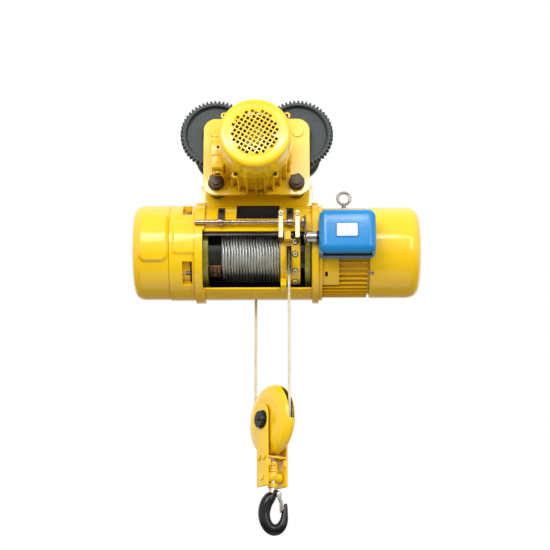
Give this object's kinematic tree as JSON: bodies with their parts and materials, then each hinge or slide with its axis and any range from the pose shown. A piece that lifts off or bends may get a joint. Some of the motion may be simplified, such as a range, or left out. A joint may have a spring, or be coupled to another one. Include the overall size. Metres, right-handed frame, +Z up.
{
  "type": "electric wire rope hoist",
  "caption": "Electric wire rope hoist with drum, gearbox, conical motor, limit switch, hook block and motor-driven trolley for an I-beam.",
  "frame": {"origin": "midway between the four trolley wheels, under the beam's web, at the height where the wheels tread on the beam's lower flange", "axes": "+X along the beam and the drum towards the hoist motor, -Y towards the front with the drum window, +Z up"},
  "size_m": [0.749, 0.478, 1.1404],
  "materials": {
    "yellow_paint": "glossy enamel",
    "nameplate_black": "satin",
    "cast_iron": "oiled rough casting",
    "black_paint": "glossy",
    "blue_paint": "glossy enamel",
    "rope_steel": "stranded wire, greased",
    "machined_steel": "machined",
    "dark_steel": "blackened, slightly rusty",
    "nickel_plate": "nickel plated",
    "chrome_plate": "polished",
    "zinc_plate": "zinc passivated, pale yellow"
  },
  "bodies": {
    "hoist_frame": {"drum_shell": "yellow_paint", "nameplate": "nameplate_black", "rope_anchor": "yellow_paint", "gearbox_housing": "yellow_paint", "gearbox_cover": "yellow_paint", "gearbox_mid_plate": "cast_iron", "rod_brackets": "dark_steel", "limiter_base": "blue_paint", "limiter_cover": "blue_paint", "motor_frame": "yellow_paint", "motor_end_shield": "yellow_paint", "motor_rear_shield": "yellow_paint", "motor_rear_cover": "yellow_paint", "stator_cores": "machined_steel", "eye_bolt": "nickel_plate", "housing_bolts": "black_paint", "drive_side_plate": "yellow_paint", "idler_side_plate": "yellow_paint", "hanger_studs": "dark_steel", "stud_nuts_and_spacers": "dark_steel", "wheel_axles": "machined_steel", "bearings": "machined_steel", "trolley_gear_case": "yellow_paint", "trolley_motor_frame": "yellow_paint", "trolley_fan_cover": "yellow_paint", "terminal_box": "yellow_paint"},
    "drum": {"drum": "black_paint", "rope_clamp": "cast_iron", "rope_winding": "rope_steel", "output_gear": "machined_steel"},
    "input_shaft": {"input_shaft": "machined_steel"},
    "first_stage": {"first_stage_shaft": "machined_steel"},
    "second_stage": {"second_stage_shaft": "machined_steel"},
    "rotor_carriage": {"rotor_bearing": "machined_steel"},
    "rotor": {"motor_rotor": "machined_steel", "brake_fan": "cast_iron"},
    "rope_guide": {"guide_ring": "yellow_paint", "guide_plate": "yellow_paint", "guide_arms": "zinc_plate"},
    "limit_rod": {"limit_rod": "nickel_plate", "limit_plunger": "chrome_plate"},
    "trolley_rotor": {"trolley_rotor": "machined_steel"},
    "trolley_pinion": {"trolley_pinion": "machined_steel"},
    "geared_wheel_left": {"geared_wheel_left": "cast_iron"},
    "geared_wheel_right": {"geared_wheel_right": "cast_iron"},
    "idler_wheel_left": {"idler_wheel_left": "cast_iron"},
    "idler_wheel_right": {"idler_wheel_right": "cast_iron"},
    "hook_block": {"sheave_guard": "yellow_paint", "block_straps": "yellow_paint", "block_bolts": "yellow_paint", "block_tie_plate": "yellow_paint", "sheave_axle": "machined_steel", "axle_nuts": "black_paint", "rope_falls": "rope_steel"},
    "sheave": {"sheave": "machined_steel"},
    "crosshead": {"crosshead": "yellow_paint", "thrust_bearing": "machined_steel"},
    "hook": {"hook": "black_paint", "hook_nut": "yellow_paint"},
    "latch": {"hook_latch": "zinc_plate"}
  },
  "joints": [
    {"name": "drum_spin", "type": "hinge", "parent": "hoist_frame", "child": "drum", "pos_m": [0, 0, -0.242], "axis": [1, 0, 0], "range_deg": [-275, 7200]},
    {"name": "hook_travel", "type": "slide", "parent": "hoist_frame", "child": "hook_block", "axis": [0, 0, -1], "range_m": [-0.181, 4.714], "deforming": ["rope_falls"]},
    {"name": "guide_travel", "type": "slide", "parent": "hoist_frame", "child": "rope_guide", "axis": [1, 0, 0], "range_m": [-0.1505, 0.0058]},
    {"name": "second_stage_spin", "type": "hinge", "parent": "hoist_frame", "child": "second_stage", "pos_m": [0, -0.05739, -0.27251], "axis": [1, 0, 0], "range_deg": [-21601, 826]},
    {"name": "first_stage_spin", "type": "hinge", "parent": "hoist_frame", "child": "first_stage", "pos_m": [0, -0.04547, -0.21575], "axis": [1, 0, 0], "range_deg": [-2593.86, 67886.71]},
    {"name": "input_shaft_spin", "type": "hinge", "parent": "hoist_frame", "child": "input_shaft", "pos_m": [0, 0, -0.242], "axis": [1, 0, 0], "range_deg": [-297653.75, 11369.68]},
    {"name": "brake_release", "type": "slide", "parent": "hoist_frame", "child": "rotor_carriage", "axis": [-1, 0, 0], "range_m": [0, 0.0015], "stiffness_N_per_m": 20000, "springref_m": -0.01},
    {"name": "rotor_spin", "type": "hinge", "parent": "rotor_carriage", "child": "rotor", "pos_m": [0, 0, -0.242], "axis": [1, 0, 0], "range_deg": [-297653.75, 11369.68]},
    {"name": "limit_rod_slide", "type": "slide", "parent": "hoist_frame", "child": "limit_rod", "axis": [1, 0, 0], "range_m": [0, 0.006], "stiffness_N_per_m": 3000},
    {"name": "geared_wheel_left_spin", "type": "hinge", "parent": "hoist_frame", "child": "geared_wheel_left", "pos_m": [-0.108, 0, 0.057], "axis": [0, 1, 0], "continuous": true},
    {"name": "geared_wheel_right_spin", "type": "hinge", "parent": "hoist_frame", "child": "geared_wheel_right", "pos_m": [0.108, 0, 0.057], "axis": [0, 1, 0], "continuous": true},
    {"name": "trolley_pinion_spin", "type": "hinge", "parent": "hoist_frame", "child": "trolley_pinion", "pos_m": [0, 0, 0.01606], "axis": [0, 1, 0], "continuous": true},
    {"name": "trolley_rotor_spin", "type": "hinge", "parent": "hoist_frame", "child": "trolley_rotor", "pos_m": [0, 0, -0.02969], "axis": [0, 1, 0], "continuous": true},
    {"name": "idler_wheel_left_spin", "type": "hinge", "parent": "hoist_frame", "child": "idler_wheel_left", "pos_m": [-0.108, 0, 0.057], "axis": [0, 1, 0], "continuous": true},
    {"name": "idler_wheel_right_spin", "type": "hinge", "parent": "hoist_frame", "child": "idler_wheel_right", "pos_m": [0.108, 0, 0.057], "axis": [0, 1, 0], "continuous": true},
    {"name": "sheave_spin", "type": "hinge", "parent": "hook_block", "child": "sheave", "pos_m": [0.04035, -0.00829, -0.695], "axis": [0.8339, 0.5519, 0], "range_deg": [-129.91, 3376]},
    {"name": "crosshead_tilt", "type": "hinge", "parent": "hook_block", "child": "crosshead", "pos_m": [0.04035, -0.00829, -0.8425], "axis": [0.8339, 0.5519, 0], "range_deg": [-10, 10]},
    {"name": "hook_swivel", "type": "hinge", "parent": "crosshead", "child": "hook", "pos_m": [0.04035, -0.00829, -0.895], "axis": [0, 0, 1], "continuous": true},
    {"name": "latch_open", "type": "hinge", "parent": "hook", "child": "latch", "pos_m": [0.05735, -0.00829, -0.885], "axis": [0, 1, 0], "range_deg": [0, 25], "stiffness_Nm_per_rad": 0.08, "springref_deg": -20.05}
  ],
  "couplings": [
    {"joint": "hook_travel", "follows": "drum_spin", "m_per_rad": 0.0375},
    {"joint": "guide_travel", "follows": "drum_spin", "m_per_rad": -0.0011937},
    {"joint": "second_stage_spin", "follows": "drum_spin", "ratio": -3},
    {"joint": "first_stage_spin", "follows": "drum_spin", "ratio": 9.4286},
    {"joint": "input_shaft_spin", "follows": "drum_spin", "ratio": -41.341},
    {"joint": "rotor_spin", "follows": "drum_spin", "ratio": -41.341},
    {"joint": "sheave_spin", "follows": "drum_spin", "ratio": 0.46875},
    {"joint": "geared_wheel_right_spin", "follows": "geared_wheel_left_spin", "ratio": 1},
    {"joint": "trolley_pinion_spin", "follows": "geared_wheel_left_spin", "ratio": -3.7143},
    {"joint": "trolley_rotor_spin", "follows": "geared_wheel_left_spin", "ratio": 15.167}
  ]
}
